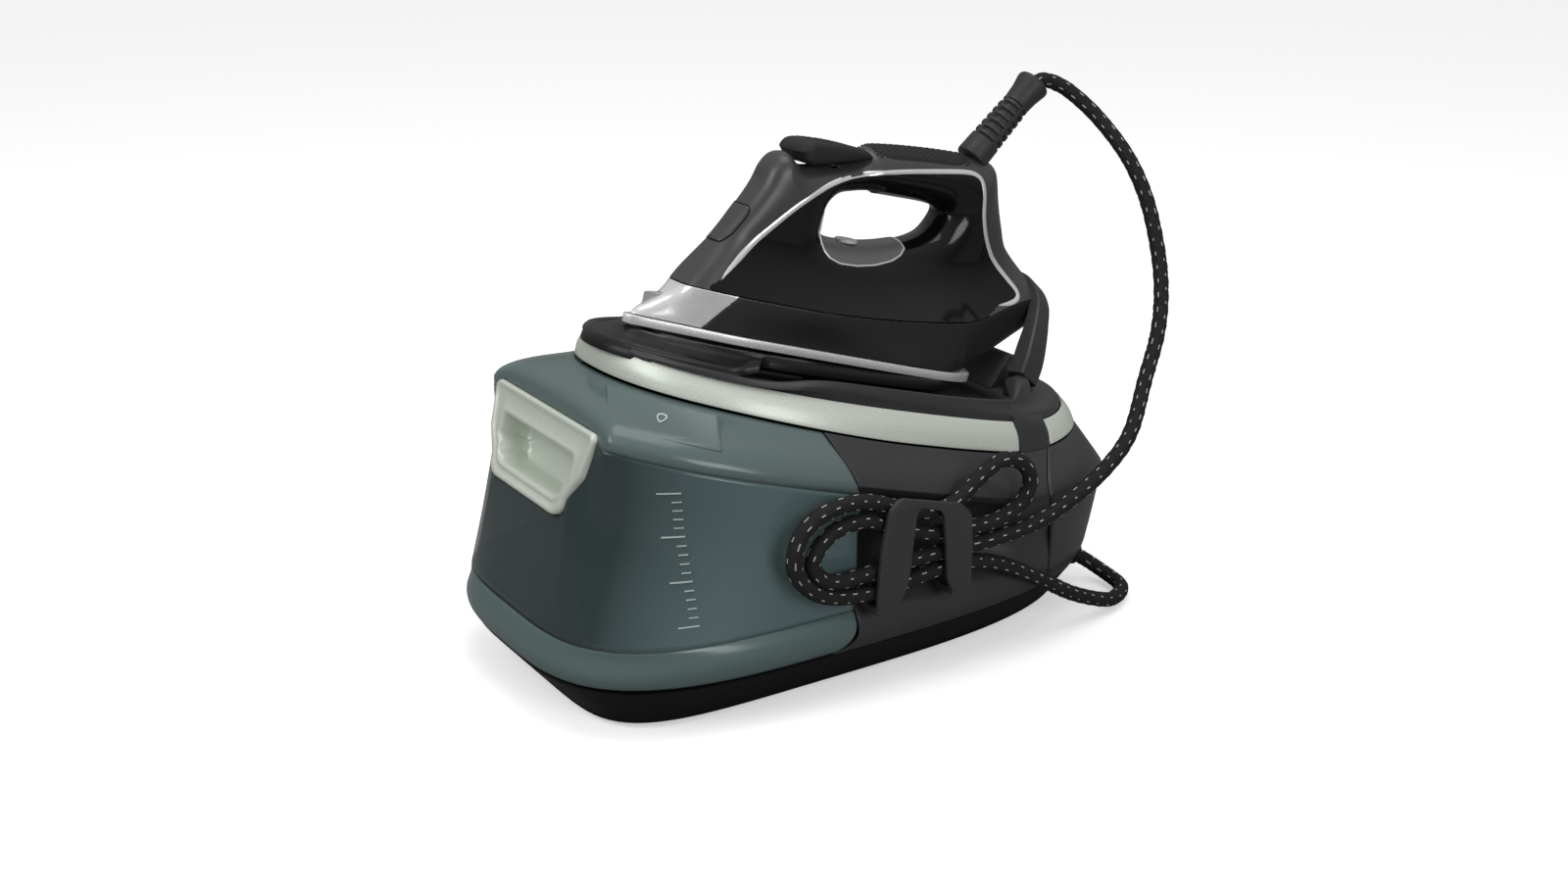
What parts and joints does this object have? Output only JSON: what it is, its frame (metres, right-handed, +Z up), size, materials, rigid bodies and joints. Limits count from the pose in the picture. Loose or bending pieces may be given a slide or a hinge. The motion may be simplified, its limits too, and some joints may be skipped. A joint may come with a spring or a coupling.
{
  "type": "steam generator iron",
  "caption": "Steam iron on a sloping rest over a base with a slide-out translucent tank, a retaining hoop, and a braided hose wound behind a side clip.",
  "frame": {"origin": "on the ground under the centre of the overall plan, hose included", "axes": "+Z up; -Y is the front, where the tank handle and the iron's tip are; +X is the side with the hose clip"},
  "size_m": [0.298, 0.4911, 0.3662],
  "materials": {
    "black_plastic": "satin black",
    "dark_grey_plastic": "fine satin dark grey",
    "gloss_black_plastic": "semi-gloss black",
    "sage_plastic": "pale sage green with a fine pearl speckle",
    "tank_plastic": "translucent grey-teal",
    "silicone": "matt black",
    "braid": "black textile braid with pale flecks",
    "polished_steel": "polished edge",
    "silver_trim": "bright trim",
    "cast_aluminium": "as cast",
    "brass": "machined",
    "circuit_board": "green solder mask"
  },
  "bodies": {
    "base": {"base_pan": "black_plastic", "inner_housing": "black_plastic", "pump": "black_plastic", "transformer": "black_plastic", "tank_socket": "black_plastic", "mains_plug": "black_plastic", "hoop_lug_right": "black_plastic", "hoop_lug_left": "black_plastic", "side_panel_right": "dark_grey_plastic", "side_panel_left": "dark_grey_plastic", "column_right": "dark_grey_plastic", "column_left": "dark_grey_plastic", "rear_cover": "dark_grey_plastic", "top_deck": "dark_grey_plastic", "control_panel": "dark_grey_plastic", "cord_clip_right": "dark_grey_plastic", "cord_clip_left": "dark_grey_plastic", "trim_band_front": "sage_plastic", "trim_band_rear": "sage_plastic", "iron_rest": "silicone", "foot_front_right": "silicone", "foot_front_left": "silicone", "foot_rear_right": "silicone", "foot_rear_left": "silicone", "hose_outlet": "silicone", "cord_grommet": "silicone", "power_cord": "silicone", "feed_tube": "silicone", "steam_tube": "silicone", "suction_tube": "silicone", "steam_hose_lower": "braid", "boiler": "cast_aluminium", "boiler_cradle": "cast_aluminium", "steam_valve": "brass", "control_board": "circuit_board"},
    "tank": {"water_tank": "tank_plastic", "tank_handle": "sage_plastic", "tank_valve": "black_plastic"},
    "filler_flap": {"filler_flap": "tank_plastic"},
    "hoop": {"heel_hoop": "dark_grey_plastic"},
    "power_button": {"power_button": "silver_trim"},
    "boost_button": {"boost_button": "silver_trim"},
    "iron": {"soleplate": "polished_steel", "heater_casting": "cast_aluminium", "thermostat": "brass", "iron_skirt": "dark_grey_plastic", "nose_plate": "silver_trim", "iron_body": "gloss_black_plastic", "nose_cover": "dark_grey_plastic", "grip_pad": "black_plastic", "control_pad": "black_plastic", "accent_strip_right": "silver_trim", "accent_strip_left": "silver_trim", "hose_boot": "black_plastic", "steam_hose_upper": "braid"},
    "trigger": {"steam_trigger": "black_plastic"},
    "lever": {"thumb_lever": "black_plastic"},
    "pad_button": {"pad_button": "silver_trim"}
  },
  "joints": [
    {"name": "tank_slide", "type": "slide", "parent": "base", "child": "tank", "axis": [0, -1, 0], "range_m": [0, 0.26]},
    {"name": "flap_hinge", "type": "hinge", "parent": "tank", "child": "filler_flap", "pos_m": [0.1027, -0.135, 0.187], "axis": [-0.7205, 0.3275, 0.6113], "range_deg": [0, 80]},
    {"name": "hoop_hinge", "type": "hinge", "parent": "base", "child": "hoop", "pos_m": [0, 0.13545, 0.17], "axis": [-1, 0, 0], "range_deg": [0, 30]},
    {"name": "power_press", "type": "slide", "parent": "base", "child": "power_button", "axis": [0, 0.7772, -0.6292], "range_m": [0, 0.0012]},
    {"name": "boost_press", "type": "slide", "parent": "base", "child": "boost_button", "axis": [0, 0.7772, -0.6292], "range_m": [0, 0.0012]},
    {"name": "iron_lift", "type": "slide", "parent": "base", "child": "iron", "axis": [0, 0, 1], "range_m": [0, 0.2]},
    {"name": "trigger_hinge", "type": "hinge", "parent": "iron", "child": "trigger", "pos_m": [0, 0.04532, 0.30261], "axis": [-1, 0, 0], "range_deg": [0, 4]},
    {"name": "lever_hinge", "type": "hinge", "parent": "iron", "child": "lever", "pos_m": [0, 0.0312, 0.32591], "axis": [1, 0, 0], "range_deg": [0, 2.4]},
    {"name": "pad_press", "type": "slide", "parent": "iron", "child": "pad_button", "axis": [0, -0.2756, -0.9613], "range_m": [0, 0.0008]}
  ]
}
